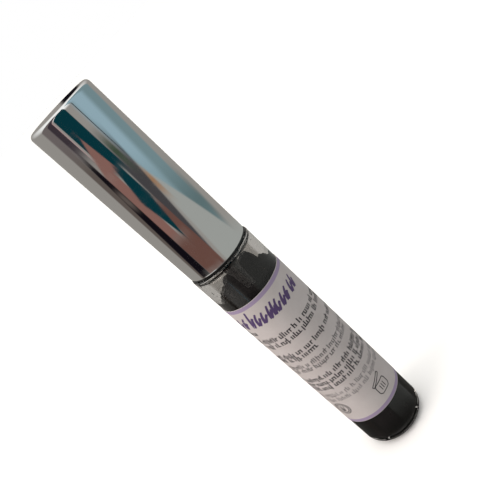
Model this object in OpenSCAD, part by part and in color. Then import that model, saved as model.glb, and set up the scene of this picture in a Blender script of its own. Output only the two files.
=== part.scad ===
// Mascara tube: a clear bottle with a screw cap that carries the wand and brush.
// Origin at the centre of the base, +Z up to the cap, the label's front faces -Y.

/* [Bottle] */
// Outside diameter of the bottle's body
bottle_d = 18; // [15:0.1:22]
// Height of the body, from the base to the shoulder
body_h = 70.6; // [58:0.1:85]
// Thickness of the body's clear wall
body_wall = 2.4; // [1.6:0.1:2.9]
// Radius of the rounded edge round the base
base_round = 3.3; // [1:0.1:3.6]
// Radius of the rounded edge of the shoulder
shoulder_round = 0.5; // [0.2:0.1:0.8]
// Thickness of the bottle's floor
floor_t = 1.2; // [1:0.1:4]
// Thickness of the shoulder under the neck
shoulder_t = 1.2; // [0.9:0.1:3.5]
// Radius of the cavity's rounded lower edge
cavity_round = 2.6; // [1:0.1:3]
// Radius of the cavity's rounded upper edge
cavity_top_round = 1; // [0.3:0.1:1.5]
// Radius of the shallow recess under the base
recess_r = 3.2; // [2:0.1:3.4]
// Depth of the recess under the base
recess_h = 0.3; // [0.1:0.05:0.5]

/* [Neck] */
// Height of the neck above the shoulder
neck_h = 14; // [12:0.1:18]
// Thickness of the neck's wall inside the thread
neck_wall = 1.3; // [1:0.1:1.4]
// Height of the plain collar at the foot of the neck
collar_h = 1; // [0.5:0.1:1.5]
// Width of the bevel round the neck's mouth
mouth_bevel = 0.25; // [0.1:0.05:0.35]

/* [Thread] */
// Rise of the screw thread in one turn
thread_lead = 3; // [2.4:0.1:3.6]
// Height of the thread's ridge
thread_h = 0.6; // [0.4:0.05:0.7]
// Width of the ridge where it leaves the wall
ridge_w = 1.2; // [0.8:0.1:1.3]
// Width of the ridge's flat crest
crest_w = 0.6; // [0.3:0.1:0.7]
// Height of the thread's start above the shoulder
thread_start = 3.4; // [2.5:0.1:4]
// Turns of thread on the neck
neck_turns = 2; // [1.5:0.25:2]
// Turns of thread in the cap, which are also the turns that open it
cap_turns = 1.5; // [1:0.25:1.5]
// Gap from each thread's crest to the wall that it faces
thread_gap = 0.2; // [0.15:0.05:0.3]

/* [Cap] */
// Length of the bright cap shell
cap_h = 47.8; // [36:0.1:60]
// How far the cap's side stands inside the bottle's side
cap_setback = 0.25; // [0:0.05:0.5]
// Thickness of the shell's side wall
shell_wall = 0.9; // [0.6:0.05:1]
// Thickness of the shell's top
shell_top = 1.1; // [0.8:0.1:2]
// Radius of the shell's rounded top edge
shell_round = 1.1; // [0.4:0.1:1.5]
// Radius of the rounding on the shell's lower edge
shell_edge_round = 0.2; // [0.1:0.05:0.3]
// Height of the black lip that shows under the shell
lip_h = 0.5; // [0.3:0.05:0.8]
// How far the lip stands inside the shell's side
lip_setback = 0.2; // [0.1:0.05:0.6]
// Gap between the closed cap and the bottle's shoulder
cap_gap = 0.1; // [0.05:0.05:0.3]
// Thickness of the liner's threaded sleeve
liner_wall = 0.85; // [0.7:0.05:1]
// Thickness of the liner's disc above the neck
disc_t = 1.2; // [0.8:0.1:2]
// Height of the boss that holds the wand's head
boss_h = 8; // [7:0.1:12]
// Thickness of the boss's wall
boss_wall = 1.2; // [0.8:0.1:1.5]
// Number of fins between the boss and the shell
fin_count = 6; // [3:1:8]
// Thickness of each fin
fin_t = 0.9; // [0.6:0.1:1.4]

/* [Wand and brush] */
// Diameter of the wand's stem
stem_d = 4.2; // [3.5:0.01:5.1]
// Diameter of the wand's head in the boss
head_d = 6; // [5.2:0.1:6.4]
// Height of the wand's head
head_h = 6; // [5:0.1:7]
// Height of the snap bead round the wand's head
head_bead = 0.2; // [0.1:0.05:0.3]
// Length of the stem's tapered lower end
stem_taper_h = 2.4; // [1:0.1:4]
// Diameter of the stem's lower end
stem_tip_d = 3; // [2.4:0.1:3.4]
// Diameter of the brush's twisted wire core
core_d = 1.5; // [1:0.1:1.8]
// Depth of the core's grip in the stem
core_grip = 6; // [4:0.1:10]
// Length of bare wire above the bristles
bare_wire = 0.8; // [0.4:0.1:3]
// Length of wire past the bristles at the tip
core_tip = 0.9; // [0.8:0.1:2]
// Length of the brush's bristles
brush_l = 26; // [20:0.5:32]
// Largest diameter across the bristles
brush_d = 7.7; // [6:0.1:8.2]
// How much smaller the brush's radius is at its ends
brush_crown = 0.9; // [0.3:0.1:1.5]
// Gap between the wire's tip and the cavity's floor
tip_gap = 4.9; // [1.5:0.1:6]

/* [Wiper and washer] */
// Running gap between the wiper and the neck's bore
wiper_fit = 0.05; // [0.02:0.01:0.1]
// Length of the wiper's plug in the neck
wiper_h = 8; // [6:0.1:9]
// Length of the wiper's cone down to its lip
wiper_cone_h = 2.6; // [2:0.1:3.5]
// Thickness of the wiper's wall
wiper_wall = 0.6; // [0.5:0.05:0.8]
// Thickness of the wiper's flange on the neck
flange_t = 0.6; // [0.4:0.1:1]
// How far the flange stands inside the neck's side
flange_setback = 0.3; // [0.1:0.1:0.8]
// Height of the bead that holds the wiper in its groove
wiper_bead = 0.2; // [0.1:0.05:0.3]
// Running gap between the stem and the wiper's lip, and the washer
stem_gap = 0.1; // [0.05:0.01:0.15]
// Thickness of the foam sealing washer
washer_t = 1; // [0.6:0.1:1.5]

/* [Label] */
// Height of the label's lower edge above the base
label_low = 12; // [6:0.5:20]
// Clear band between the label's upper edge and the shoulder
label_top_gap = 10.6; // [4:0.1:15]
// Thickness of the label
label_t = 0.1; // [0.05:0.01:0.2]
// Width of the gap where the label's ends meet at the back
label_seam = 1.2; // [0.5:0.1:4]

/* [Mascara] */
// Clear height between the mascara's surface and the shoulder
fill_headroom = 9.1; // [8.5:0.1:25]
// Gap between the bristles and the channel that they keep open
channel_gap = 0.25; // [0.1:0.05:0.5]
// Thickness of the smears on the inside of the wall
smear_t = 0.15; // [0.1:0.05:0.4]

/* [Hidden] */
$fn = 96;

// Radii, worked out from the bottle's side inwards
bottle_r = bottle_d / 2;
cavity_r = bottle_r - body_wall;
cap_r = bottle_r - cap_setback;
shell_bore_r = cap_r - shell_wall;
socket_r = shell_bore_r - liner_wall;
neck_crest_r = socket_r - thread_gap;
neck_r = neck_crest_r - thread_h;
cap_crest_r = neck_r + thread_gap;
neck_bore_r = neck_r - neck_wall;
wiper_r = neck_bore_r - wiper_fit;
flange_r = neck_r - flange_setback;
stem_r = stem_d / 2;
lip_r = stem_r + stem_gap;
head_r = head_d / 2;
boss_r = head_r + boss_wall;
core_r = core_d / 2;
brush_r = brush_d / 2;
channel_r = brush_r + channel_gap;

// Heights, worked out from the base upwards
cavity_top_z = body_h - shoulder_t;
rim_z = body_h + neck_h;
flange_top_z = rim_z + flange_t;
socket_top_z = flange_top_z + washer_t;
liner_z = body_h + cap_gap;
shell_z = liner_z + lip_h;
disc_top_z = socket_top_z + disc_t;
core_z = floor_t + tip_gap;
brush_z = core_z + core_tip;
stem_z = brush_z + brush_l + bare_wire;
fill_z = body_h - fill_headroom;

// Radius of the wide circle that crowns the brush from end to end, and its own fineness
crown_r = (pow(brush_l / 2, 2) + pow(brush_crown, 2)) / (2 * brush_crown);
crown_fn = 1440;
// Height of the middle of the wiper's bead
bead_z = rim_z - wiper_h / 2;
// Height of the snap bead round the wand's head
head_bead_z = disc_top_z + head_h / 2;

// How far one solid runs on past a face that it cuts or joins
over = 0.3;
// Flats in one turn of a thread's ridge
thread_steps = 36;
// Share of a turn over which each end of a thread runs out
runout = 1 / 6;
// Smears: first angle, sweep, and the height of each over the mascara's surface
smears = [[-126, 20, 5.6], [-106, 32, 4.6], [-74, 30, 7.8], [-40, 58, 4], [40, 70, 2.2], [170, 40, 3.4]];

// Half section of a round body from z0 to z1, with rounded outer edges
module half_section(r, z0, z1, low_round, high_round) {
    difference() {
        translate([0, z0]) square([r, z1 - z0]);
        translate([r - low_round, z0 + low_round]) outside_corner(low_round, -1);
        translate([r - high_round, z1 - high_round]) outside_corner(high_round, 1);
    }
}

// What lies outside a quarter circle about the origin, to the right and up or down
module outside_corner(r, way) {
    difference() {
        translate([0, way > 0 ? 0 : -r - over]) square([r + over, r + over]);
        circle(r);
    }
}

// Helical ridge of a screw thread, sunk into its wall at root_r
module ridge(root_r, crest_r, z, turns) {
    steps = round(turns * thread_steps);
    fade = runout * thread_steps;
    sink = crest_r > root_r ? -over : over;
    rings = [for (i = [0:steps])
        let (a = 360 * i / thread_steps,
            m = z + thread_lead * i / thread_steps,
            f = max(0.04, min(1, i / fade, (steps - i) / fade)),
            r = root_r + (crest_r - root_r) * f,
            side = [[root_r + sink, -ridge_w / 2], [r, -crest_w / 2], [r, crest_w / 2],
                [root_r + sink, ridge_w / 2]])
        [for (p = side) [p.x * cos(a), p.x * sin(a), m + p.y]]];
    turned = crest_r > root_r;
    skin = [for (i = [0:steps - 1], k = [0:3])
        let (a = 4 * i + k, b = 4 * i + (k + 1) % 4)
        each [[a, b, b + 4], [a, b + 4, a + 4]]];
    last = 4 * steps;
    ends = [[0, 3, 2], [0, 2, 1], [last, last + 1, last + 2], [last, last + 2, last + 3]];
    faces = concat(skin, ends);
    polyhedron([for (ring = rings) each ring],
        [for (f = faces) turned ? f : [f[0], f[2], f[1]]], convexity = 6);
}

// The space inside the bottle's body
module cavity_section(top_z) {
    intersection() {
        half_section(cavity_r, floor_t, cavity_top_z, cavity_round, cavity_top_round);
        square([cavity_r, top_z]);
    }
}

module bottle() {
    color("#dfe3e4", 0.4) {
        difference() {
            union() {
                rotate_extrude() half_section(bottle_r, 0, body_h, base_round, shoulder_round);
                translate([0, 0, body_h - over]) cylinder(r = neck_r, h = neck_h + over);
                translate([0, 0, body_h - over]) cylinder(r = neck_crest_r, h = collar_h + over);
            }
            rotate_extrude() cavity_section(cavity_top_z);
            translate([0, 0, cavity_top_z - over]) cylinder(r = neck_bore_r, h = rim_z - cavity_top_z + 2 * over);
            translate([0, 0, rim_z - mouth_bevel])
                cylinder(r1 = neck_bore_r, r2 = neck_bore_r + mouth_bevel + over, h = mouth_bevel + over);
            rotate_extrude() translate([neck_bore_r, bead_z]) circle(wiper_bead + wiper_fit);
            translate([0, 0, -over]) cylinder(r = recess_r, h = recess_h + over);
        }
        ridge(neck_r, neck_crest_r, body_h + thread_start, neck_turns);
    }
}

module label() {
    gap_angle = 360 * label_seam / (2 * PI * bottle_r);
    color("#aba6a3") rotate([0, 0, 90 + gap_angle / 2]) rotate_extrude(angle = 360 - gap_angle)
        translate([bottle_r, label_low]) square([label_t, body_h - label_top_gap - label_low]);
}

module mascara_fill() {
    color("#121112") rotate_extrude() difference() {
        cavity_section(fill_z);
        half_section(channel_r, core_z - channel_gap, fill_z + over, core_r, 0);
    }
}

module mascara_smears() {
    color("#1d1a1a") for (s = smears)
        rotate([0, 0, s[0]]) rotate_extrude(angle = s[1]) intersection() {
            cavity_section(cavity_top_z);
            translate([cavity_r - smear_t, fill_z]) square([smear_t, s[2]]);
        }
}

module wiper() {
    foot_z = rim_z - wiper_h;
    tip_z = foot_z - wiper_cone_h;
    color("#e8e6df") rotate_extrude() difference() {
        union() {
            polygon([[0, tip_z], [lip_r + wiper_wall, tip_z], [wiper_r, foot_z], [wiper_r, rim_z],
                [flange_r, rim_z], [flange_r, flange_top_z], [0, flange_top_z]]);
            translate([wiper_r, bead_z]) circle(wiper_bead);
        }
        polygon([[0, tip_z - over], [lip_r, tip_z - over], [lip_r, tip_z + wiper_wall],
            [wiper_r - wiper_wall, foot_z + wiper_wall / 2], [wiper_r - wiper_wall, flange_top_z + over],
            [0, flange_top_z + over]]);
    }
}

module sealing_washer() {
    color("#f0efec") translate([0, 0, flange_top_z]) difference() {
        cylinder(r = flange_r, h = washer_t);
        translate([0, 0, -over]) cylinder(r = lip_r, h = washer_t + 2 * over);
    }
}

module cap_shell() {
    color("#9aa7ac") rotate_extrude() difference() {
        half_section(cap_r, shell_z, shell_z + cap_h, shell_edge_round, shell_round);
        translate([0, shell_z - over]) square([shell_bore_r, cap_h - shell_top + over]);
    }
}

module cap_liner() {
    color("#18181a") {
        difference() {
            union() {
                translate([0, 0, liner_z]) cylinder(r = cap_r - lip_setback, h = lip_h);
                translate([0, 0, liner_z]) cylinder(r = shell_bore_r, h = disc_top_z - liner_z);
                translate([0, 0, disc_top_z]) cylinder(r = boss_r, h = boss_h);
                intersection() {
                    for (i = [0:fin_count - 1]) rotate([0, 0, 360 * i / fin_count])
                        translate([0, -fin_t / 2, disc_top_z]) cube([cap_r, fin_t, boss_h - boss_wall]);
                    translate([0, 0, disc_top_z]) cylinder(r = shell_bore_r, h = boss_h);
                }
            }
            translate([0, 0, liner_z - over]) cylinder(r = socket_r, h = socket_top_z - liner_z + over);
            translate([0, 0, socket_top_z - over]) cylinder(r = stem_r, h = disc_t + 2 * over);
            translate([0, 0, disc_top_z]) cylinder(r = head_r, h = boss_h + over);
            rotate_extrude() translate([head_r, head_bead_z]) circle(head_bead);
        }
        ridge(socket_r, cap_crest_r, body_h + thread_start + thread_lead / 2, cap_turns);
    }
}

module wand_stem() {
    color("#141415") difference() {
        union() {
            translate([0, 0, stem_z]) cylinder(r1 = stem_tip_d / 2, r2 = stem_r, h = stem_taper_h);
            translate([0, 0, stem_z + stem_taper_h]) cylinder(r = stem_r, h = disc_top_z - stem_z - stem_taper_h);
            translate([0, 0, disc_top_z]) cylinder(r = head_r, h = head_h);
            rotate_extrude() translate([head_r, head_bead_z]) circle(head_bead);
        }
        translate([0, 0, stem_z - over]) cylinder(r = core_r, h = core_grip + over);
    }
}

module brush_core() {
    color("#b9bcc0") {
        translate([0, 0, core_z + core_r]) cylinder(r = core_r, h = stem_z + core_grip - core_z - core_r);
        translate([0, 0, core_z + core_r]) sphere(core_r);
    }
}

module brush_bristles() {
    color("#0f0f10") rotate_extrude() intersection() {
        translate([core_r, brush_z]) square([brush_r - core_r, brush_l]);
        translate([brush_r - crown_r, brush_z + brush_l / 2]) circle(crown_r, $fn = crown_fn);
    }
}

bottle();
label();
mascara_fill();
mascara_smears();
wiper();
sealing_washer();
cap_shell();
cap_liner();
wand_stem();
brush_core();
brush_bristles();
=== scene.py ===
"""Looks of a clear mascara tube with a mirror-bright screw cap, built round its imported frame.

Sizes are in millimetres and MM turns them to metres. The tube stands on its base, +Z points to
the cap's top, and the label's front faces -Y. An azimuth is turned from -Y towards +X.
"""

import logging
import math
import random
from collections.abc import Callable
from dataclasses import dataclass, field, replace
from enum import Enum
from itertools import pairwise

import bpy
from mathutils import Matrix, Vector


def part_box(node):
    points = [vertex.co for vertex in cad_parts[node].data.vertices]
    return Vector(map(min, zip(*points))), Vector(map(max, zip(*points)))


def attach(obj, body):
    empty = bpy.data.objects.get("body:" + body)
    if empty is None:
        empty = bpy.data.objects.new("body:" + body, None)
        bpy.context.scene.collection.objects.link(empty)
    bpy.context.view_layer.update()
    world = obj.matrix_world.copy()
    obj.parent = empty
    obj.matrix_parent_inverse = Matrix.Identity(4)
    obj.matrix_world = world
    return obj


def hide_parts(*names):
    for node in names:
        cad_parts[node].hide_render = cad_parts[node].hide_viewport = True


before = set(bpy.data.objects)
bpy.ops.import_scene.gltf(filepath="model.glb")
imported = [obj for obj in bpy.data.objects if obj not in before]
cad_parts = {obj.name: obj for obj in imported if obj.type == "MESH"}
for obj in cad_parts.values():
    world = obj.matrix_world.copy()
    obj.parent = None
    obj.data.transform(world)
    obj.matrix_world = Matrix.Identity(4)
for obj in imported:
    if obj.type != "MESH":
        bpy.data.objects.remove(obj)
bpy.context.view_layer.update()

MM = 0.001
LOG = logging.getLogger("mascara_tube")

Place = tuple[float, float, float]
Outline = list[tuple[float, float]]
Solid = tuple[list[Vector], list[tuple[int, ...]]]
Colour = tuple[float, float, float, float]
Piece = bpy.types.Object
NodeTree = bpy.types.NodeTree
Node = bpy.types.Node
Socket = bpy.types.NodeSocket

# Points nearer to each other than this, in metres, are one.
SAME_POINT = 1e-6

# In the print the strokes cross each other, so only points that truly coincide are one.
SAME_PRINT = 1e-9


# ---- Sizes read from the frame ----


def width_of(node: str) -> float:
    """Width of a CAD node along X, in millimetres."""
    low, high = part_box(node)
    return (high.x - low.x) / MM


def radius_of(node: str) -> float:
    """Outer radius of a round CAD node, in millimetres."""
    return width_of(node) / 2


def foot_of(node: str) -> float:
    """Height of a CAD node's lowest point, in millimetres."""
    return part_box(node)[0].z / MM


def top_of(node: str) -> float:
    """Height of a CAD node's highest point, in millimetres."""
    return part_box(node)[1].z / MM


# ---- Modelling by hand ----


def deselect_all() -> None:
    """Leaves object mode with nothing selected."""
    if bpy.context.object and bpy.context.object.mode != "OBJECT":
        bpy.ops.object.mode_set(mode="OBJECT")
    bpy.ops.object.select_all(action="DESELECT")


def select_only(*pieces: Piece) -> None:
    """Selects these pieces alone and makes the first one active.

    Args:
        pieces: the pieces to select.
    """
    deselect_all()
    for piece in pieces:
        piece.select_set(True)
    bpy.context.view_layer.objects.active = pieces[0]


def settle(piece: Piece, name: str, smooth: float | None = 35.0) -> Piece:
    """Names a piece, puts its place into its mesh and shades it.

    Args:
        piece: the piece to settle.
        name: its name in the scene.
        smooth: edges under this angle, in degrees, are shaded smooth; None leaves them flat.

    Returns:
        The piece, at the origin, unturned and unscaled.
    """
    select_only(piece)
    bpy.ops.object.transform_apply(location=True, rotation=True, scale=True)
    if smooth is not None:
        bpy.ops.object.shade_smooth_by_angle(angle=math.radians(smooth))
    piece.name = name
    piece.data.name = name
    return piece


def finish_modifier(piece: Piece, kind: str, **settings: object) -> None:
    """Adds a modifier to a piece and applies it.

    Args:
        piece: the piece to change.
        kind: the modifier's type.
        settings: values of its properties.
    """
    select_only(piece)
    modifier = piece.modifiers.new(kind.title(), kind)
    for key, value in settings.items():
        setattr(modifier, key, value)
    bpy.ops.object.modifier_apply(modifier=modifier.name)


def mend_normals(piece: Piece, merge: float = SAME_POINT) -> None:
    """Merges a piece's doubled points and turns its faces outwards.

    Args:
        piece: the piece to mend.
        merge: points nearer than this are one, in metres.
    """
    select_only(piece)
    bpy.ops.object.mode_set(mode="EDIT")
    bpy.ops.mesh.select_all(action="SELECT")
    bpy.ops.mesh.remove_doubles(threshold=merge)
    bpy.ops.mesh.normals_make_consistent(inside=False)
    bpy.ops.object.mode_set(mode="OBJECT")


def bend_points(piece: Piece, rule: Callable[[float, float, float], Place]) -> None:
    """Moves every point of a piece's mesh by a rule.

    Args:
        piece: the piece to shape.
        rule: takes a point in millimetres and returns its new place in millimetres.
    """
    for vertex in piece.data.vertices:
        vertex.co = Vector(rule(*(vertex.co / MM))) * MM
    piece.data.update()


def arc(centre_r: float, centre_z: float, radius: float, start: float, end: float, steps: int
        ) -> Outline:
    """Points along a round stretch of an outline.

    Args:
        centre_r: the arc centre's distance from the axis.
        centre_z: the arc centre's height.
        radius: the arc's radius.
        start: first angle in degrees, 0 pointing away from the axis and 90 up.
        end: last angle in degrees.
        steps: flats along the arc.

    Returns:
        The points from start to end.
    """
    angles = [math.radians(start + (end - start) * i / steps) for i in range(steps + 1)]
    return [(centre_r + radius * math.cos(a), centre_z + radius * math.sin(a)) for a in angles]


def turned(name: str, outline: Outline, steps: int = 192, sweep: float = 360.0) -> Piece:
    """Spins an outline round the tube's axis, as on a lathe.

    Args:
        name: the piece's name.
        outline: points as (distance from the axis, height).
        steps: flats round the axis.
        sweep: how far the outline turns, in degrees, with the gap centred on +Y.

    Returns:
        The closed piece.
    """
    deselect_all()
    first_r, first_z = outline[0]
    bpy.ops.mesh.primitive_plane_add(size=MM, location=(first_r * MM, 0, first_z * MM))
    piece = bpy.context.object
    bpy.ops.object.mode_set(mode="EDIT")
    bpy.ops.mesh.select_all(action="SELECT")
    bpy.ops.mesh.merge(type="CENTER")
    for (r0, z0), (r1, z1) in pairwise(outline):
        bpy.ops.mesh.extrude_region_move(
            TRANSFORM_OT_translate={"value": ((r1 - r0) * MM, 0, (z1 - z0) * MM)})
    bpy.ops.mesh.select_all(action="SELECT")
    bpy.ops.mesh.remove_doubles(threshold=SAME_POINT)
    if sweep < 360:
        bpy.ops.mesh.edge_face_add()
    bpy.ops.mesh.spin(steps=steps, angle=math.radians(sweep), center=(0, 0, 0), axis=(0, 0, 1))
    bpy.ops.object.mode_set(mode="OBJECT")
    mend_normals(piece)
    settle(piece, name)
    if sweep < 360:
        piece.data.transform(Matrix.Rotation(math.radians(90 + (360 - sweep) / 2), 4, "Z"))
    return piece


def fill_mesh(piece: Piece, solids: list[Solid]) -> None:
    """Gives a piece's mesh many small solids in place of its own shape.

    Args:
        piece: the piece.
        solids: the points and faces of each solid, in metres.
    """
    points, faces = [], []
    for corners, sides in solids:
        faces += [tuple(len(points) + k for k in side) for side in sides]
        points += corners
    piece.data.clear_geometry()
    piece.data.from_pydata(points, [], faces)
    piece.data.update()


def joined(name: str, pieces: list[Piece], smooth: float | None = 35.0) -> Piece:
    """Joins pieces into one.

    Args:
        name: the joined piece's name.
        pieces: what to join, the first of which is kept.
        smooth: as in settle.

    Returns:
        The joined piece.
    """
    select_only(*pieces)
    if len(pieces) > 1:
        bpy.ops.object.join()
    return settle(bpy.context.view_layer.objects.active, name, smooth)


# ---- Materials ----


def linear(code: str) -> Colour:
    """Turns an sRGB hex colour into the linear values that a shader takes.

    Args:
        code: the colour, as "#rrggbb".

    Returns:
        Red, green, blue and alpha.
    """
    parts = [int(code[i:i + 2], 16) / 255 for i in (1, 3, 5)]
    red, green, blue = (p / 12.92 if p <= 0.04045 else ((p + 0.055) / 1.055) ** 2.4 for p in parts)
    return red, green, blue, 1.0


def per(size: float) -> float:
    """Scale of a pattern whose features are this many millimetres apart."""
    return 1 / (size * MM)


def add_node(tree: NodeTree, kind: str, settings: dict | None = None, inputs: dict | None = None) -> Node:
    """Adds a node with its settings and links.

    Args:
        tree: the node tree that gets it.
        kind: the node's type without its "ShaderNode" prefix.
        settings: its properties; "stops" gives a ramp's places and colours.
        inputs: a value, or another node's socket, for each input's name or number.

    Returns:
        The node.
    """
    node = tree.nodes.new("ShaderNode" + kind)
    for name, value in (settings or {}).items():
        if name == "stops":
            elements = node.color_ramp.elements
            while len(elements) < len(value):
                elements.new(1.0)
            for element, (place, code) in zip(elements, value):
                element.position = place
                element.color = linear(code)
        else:
            setattr(node, name, value)
    for name, value in (inputs or {}).items():
        if isinstance(value, Socket):
            tree.links.new(value, node.inputs[name])
        else:
            node.inputs[name].default_value = value
    return node


# The colour sockets of a Mix node share their names with its other kinds, so they go by number.
MIX_FACTOR, MIX_A, MIX_B, MIX_RESULT = 0, 6, 7, 2

# Most of a noise pattern lies between these two values.
NOISE_LOW, NOISE_HIGH = 0.3, 0.7


@dataclass(frozen=True)
class Skin:
    """A material that is being made: its nodes, its shader and each point's place on the piece."""

    tree: NodeTree
    shader: Node
    place: Socket

    def tint(self, share: Socket, colour: str, other: str) -> None:
        """Lets a pattern turn one colour into another.

        Args:
            share: the pattern, 0 where the first colour shows and 1 where the other does.
            colour: the first colour.
            other: the other colour.
        """
        mixed = add_node(self.tree, "Mix", {"data_type": "RGBA"}, {
            MIX_FACTOR: share, MIX_A: linear(colour), MIX_B: linear(other)})
        self.tree.links.new(mixed.outputs[MIX_RESULT], self.shader.inputs["Base Color"])

    def vary_roughness(self, pattern: Socket, roughness: float, uneven: tuple[float, float]) -> None:
        """Lets a pattern move the roughness between two values.

        Args:
            pattern: a noise pattern.
            roughness: the finish's roughness.
            uneven: shares of it where the pattern is low and where it is high.
        """
        spread = add_node(self.tree, "MapRange", None, {
            "Value": pattern, "From Min": NOISE_LOW, "From Max": NOISE_HIGH,
            "To Min": roughness * uneven[0], "To Max": roughness * uneven[1]})
        self.tree.links.new(spread.outputs["Result"], self.shader.inputs["Roughness"])

    def raise_bump(self, layers: list[tuple[Socket, float]]) -> None:
        """Stacks bumps, each with its own height.

        Args:
            layers: pairs of a height pattern and its real height in millimetres.
        """
        normal = None
        for pattern, height in layers:
            links = {"Height": pattern, "Distance": height * MM, "Strength": 1.0}
            if normal is not None:
                links["Normal"] = normal
            normal = add_node(self.tree, "Bump", None, links).outputs["Normal"]
        self.tree.links.new(normal, self.shader.inputs["Normal"])


@dataclass(frozen=True)
class Finish:
    """A finish: the material that it makes, and the surface that each kind of finish adds.

    In every finish the sizes and heights of patterns are in millimetres, a value that ends in
    "along" is how often a pattern repeats along the tube for each time that it does across, and
    "uneven" gives the shares of the roughness between which the surface varies.
    """

    title: str
    colour: str
    roughness: float = 0.4
    ior: float = 1.5
    metallic: float = 0.0

    def material(self) -> bpy.types.Material:
        """The finish as a material.

        Returns:
            A new material, named after what the real one is.
        """
        made = bpy.data.materials.new(self.title)
        made.use_nodes = True
        tree = made.node_tree
        shader = tree.nodes["Principled BSDF"]
        shader.inputs["Base Color"].default_value = linear(self.colour)
        shader.inputs["Roughness"].default_value = self.roughness
        shader.inputs["Metallic"].default_value = self.metallic
        if not self.metallic:
            shader.inputs["IOR"].default_value = self.ior
        place = add_node(tree, "TexCoord").outputs["Object"]
        self.surface(Skin(tree, shader, place))
        return made

    def surface(self, skin: Skin) -> None:
        """Adds the finish's own detail, of which a plain finish has none.

        Args:
            skin: the material that is being made.
        """


@dataclass(frozen=True)
class MetallisedLacquer(Finish):
    """Vacuum-metallised ABS under clear lacquer: a mirror that waves a little where the mould sank."""

    sink: float = 7.0
    sink_height: float = 0.010
    sink_along: float = 0.22
    peel: float = 0.45
    peel_height: float = 0.00006
    smudge: float = 5.0
    rub: float = 9.0
    rub_along: float = 14.0
    rub_share: float = 0.25
    uneven: tuple[float, float] = (0.6, 2.6)

    def surface(self, skin: Skin) -> None:
        """Adds slow waves along the cap, lacquer peel, finger smudges and a few rub marks.

        Args:
            skin: the material that is being made.
        """
        tree, place = skin.tree, skin.place
        along = add_node(tree, "Mapping", None, {"Vector": place, "Scale": (1.0, 1.0, self.sink_along)})
        waves = add_node(tree, "TexNoise", None, {
            "Vector": along.outputs[0], "Scale": per(self.sink), "Detail": 1.0})
        peel = add_node(tree, "TexNoise", None, {"Vector": place, "Scale": per(self.peel), "Detail": 1.0})
        smudge = add_node(tree, "TexNoise", None, {
            "Vector": place, "Scale": per(self.smudge), "Detail": 6.0, "Roughness": 0.62, "Distortion": 0.8})
        round_it = add_node(tree, "Mapping", None, {"Vector": place, "Scale": (1.0, 1.0, self.rub_along)})
        rubs = add_node(tree, "TexNoise", None, {
            "Vector": round_it.outputs[0], "Scale": per(self.rub), "Detail": 2.0})
        marks = add_node(tree, "Math", {"operation": "MULTIPLY_ADD"}, {
            0: rubs.outputs["Fac"], 1: self.rub_share, 2: smudge.outputs["Fac"]})
        centred = add_node(tree, "Math", {"operation": "SUBTRACT"}, {
            0: marks.outputs[0], 1: self.rub_share / 2})
        skin.vary_roughness(centred.outputs[0], self.roughness, self.uneven)
        skin.raise_bump([(waves.outputs["Fac"], self.sink_height), (peel.outputs["Fac"], self.peel_height)])


@dataclass(frozen=True)
class MouldedPlastic(Finish):
    """Injection-moulded polypropylene: a satin skin with faint flow lines and handling marks."""

    grain: float = 0.25
    grain_height: float = 0.0012
    patch: float = 3.0
    patch_height_share: float = 3.0
    residue: str = "#000000"
    residue_share: float = 0.0
    residue_edge: tuple[float, float] = (0.52, 0.62)
    residue_spread: float = 0.2
    uneven: tuple[float, float] = (0.8, 1.3)

    def surface(self, skin: Skin) -> None:
        """Adds the moulded grain, uneven gloss and, where asked for, dried product.

        Args:
            skin: the material that is being made.
        """
        tree, place = skin.tree, skin.place
        grain = add_node(tree, "TexNoise", None, {"Vector": place, "Scale": per(self.grain), "Detail": 3.0})
        patch = add_node(tree, "TexNoise", None, {
            "Vector": place, "Scale": per(self.patch), "Detail": 5.0, "Roughness": 0.6, "Distortion": 0.5})
        bare, covered = (edge - self.residue_share * self.residue_spread for edge in self.residue_edge)
        dried = add_node(tree, "MapRange", None, {
            "Value": patch.outputs["Fac"], "From Min": bare, "From Max": covered,
            "To Min": 0.0, "To Max": self.residue_share})
        skin.tint(dried.outputs["Result"], self.colour, self.residue)
        skin.vary_roughness(patch.outputs["Fac"], self.roughness, self.uneven)
        skin.raise_bump([(patch.outputs["Fac"], self.grain_height * self.patch_height_share),
                         (grain.outputs["Fac"], self.grain_height)])


@dataclass(frozen=True)
class ClearPetg(Finish):
    """Thick-walled clear PETG, injection-blown, with soft draw lines; its grey tint is painted shade for the
    darker room seen through the wall.
    """

    wave: float = 5.0
    wave_height: float = 0.006
    wave_along: float = 0.3
    scratch: float = 0.35
    scratch_height: float = 0.0003
    scratch_along: float = 0.06
    scratch_lean: tuple[float, float, float] = (0.3, 0.5, 0.2)
    smudge: float = 4.0
    uneven: tuple[float, float] = (0.4, 2.4)

    def surface(self, skin: Skin) -> None:
        """Adds the blown wall's slow waves, hairline scratches and finger marks.

        Args:
            skin: the material that is being made.
        """
        tree, place = skin.tree, skin.place
        skin.shader.inputs["Transmission Weight"].default_value = 1.0
        along = add_node(tree, "Mapping", None, {"Vector": place, "Scale": (1.0, 1.0, self.wave_along)})
        waves = add_node(tree, "TexNoise", None, {
            "Vector": along.outputs[0], "Scale": per(self.wave), "Detail": 1.0})
        leant = add_node(tree, "Mapping", None, {
            "Vector": place, "Rotation": self.scratch_lean, "Scale": (1.0, 1.0, self.scratch_along)})
        scratch = add_node(tree, "TexNoise", None, {
            "Vector": leant.outputs[0], "Scale": per(self.scratch), "Detail": 2.0})
        smudge = add_node(tree, "TexNoise", None, {
            "Vector": place, "Scale": per(self.smudge), "Detail": 6.0, "Roughness": 0.65, "Distortion": 0.7})
        skin.vary_roughness(smudge.outputs["Fac"], self.roughness, self.uneven)
        skin.raise_bump([(waves.outputs["Fac"], self.wave_height),
                         (scratch.outputs["Fac"], self.scratch_height)])


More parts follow.
